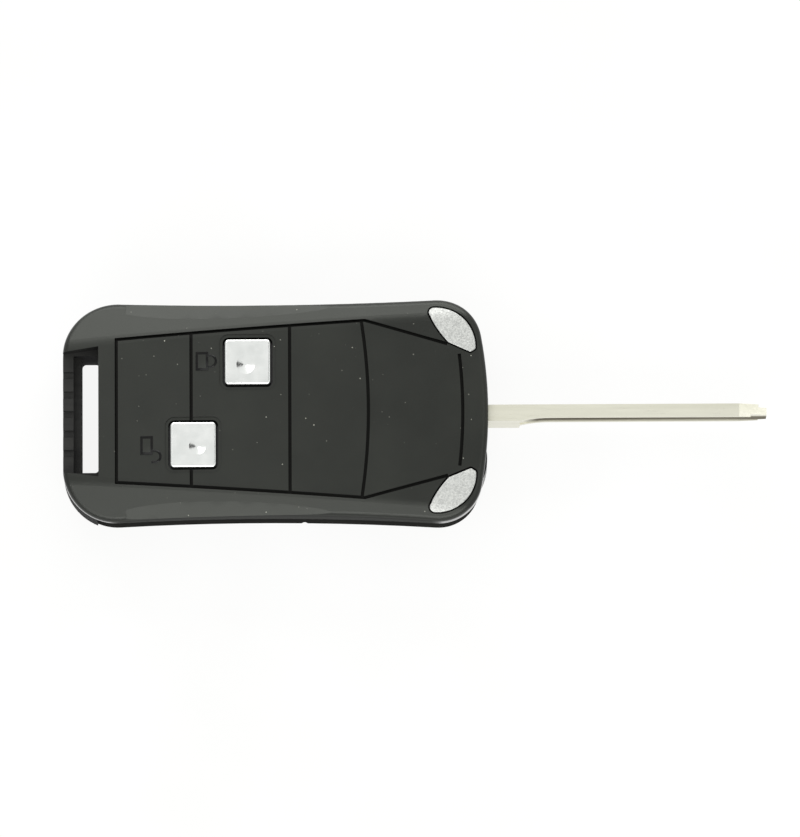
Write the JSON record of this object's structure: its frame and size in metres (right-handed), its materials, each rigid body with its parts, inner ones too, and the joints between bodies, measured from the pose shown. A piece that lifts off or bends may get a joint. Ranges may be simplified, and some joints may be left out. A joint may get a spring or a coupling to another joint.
{
  "type": "flip key remote shell",
  "caption": "Folding car key shell with a sprung flip-out blank blade, square lock and unlock buttons, corner trims, a key-ring slot and a release button in the back.",
  "frame": {"origin": "centre of the case's flat back, on the surface it rests on", "axes": "+X out along the open blade, +Y to the lock button's side, +Z out of the button face"},
  "size_m": [0.1073, 0.034, 0.0154],
  "materials": {
    "case_plastic": "moulded satin",
    "silver_paint": "silver flake paint",
    "cap_chrome": "plated bright",
    "silicone": "moulded",
    "screw_steel": "plated",
    "hub_plastic": "moulded gloss",
    "blade_metal": "nickel plated",
    "spring_steel": "drawn wire",
    "release_chrome": "plated bright"
  },
  "bodies": {
    "case": {"front_cover": "case_plastic", "rear_cover": "case_plastic", "left_corner_insert": "silver_paint", "right_corner_insert": "silver_paint", "button_pad": "silicone", "case_screws": "screw_steel", "flip_spring": "spring_steel"},
    "blade_unit": {"blade_hub": "hub_plastic", "key_blade": "blade_metal", "blade_pin": "screw_steel"},
    "lock_cap": {"lock_button": "cap_chrome"},
    "unlock_cap": {"unlock_button": "cap_chrome"},
    "release": {"release_button": "release_chrome"}
  },
  "joints": [
    {"name": "blade_fold", "type": "hinge", "parent": "case", "child": "blade_unit", "pos_m": [0.024, -0.007, 0.0057], "axis": [0, 0, -1], "range_deg": [0, 180], "stiffness_Nm_per_rad": 0.006, "springref_deg": -85.94, "deforming": ["flip_spring"]},
    {"name": "lock_press", "type": "slide", "parent": "case", "child": "lock_cap", "axis": [0, 0, -1], "range_m": [0, 0.0006], "stiffness_N_per_m": 300, "springref_m": -0.0005, "deforming": ["button_pad"]},
    {"name": "unlock_press", "type": "slide", "parent": "case", "child": "unlock_cap", "axis": [0, 0, -1], "range_m": [0, 0.0006], "stiffness_N_per_m": 300, "springref_m": -0.0005, "deforming": ["button_pad"]},
    {"name": "release_press", "type": "slide", "parent": "case", "child": "release", "axis": [0, 0, 1], "range_m": [0, 0.0012], "stiffness_N_per_m": 400, "springref_m": -0.0008, "deforming": ["flip_spring"]}
  ]
}
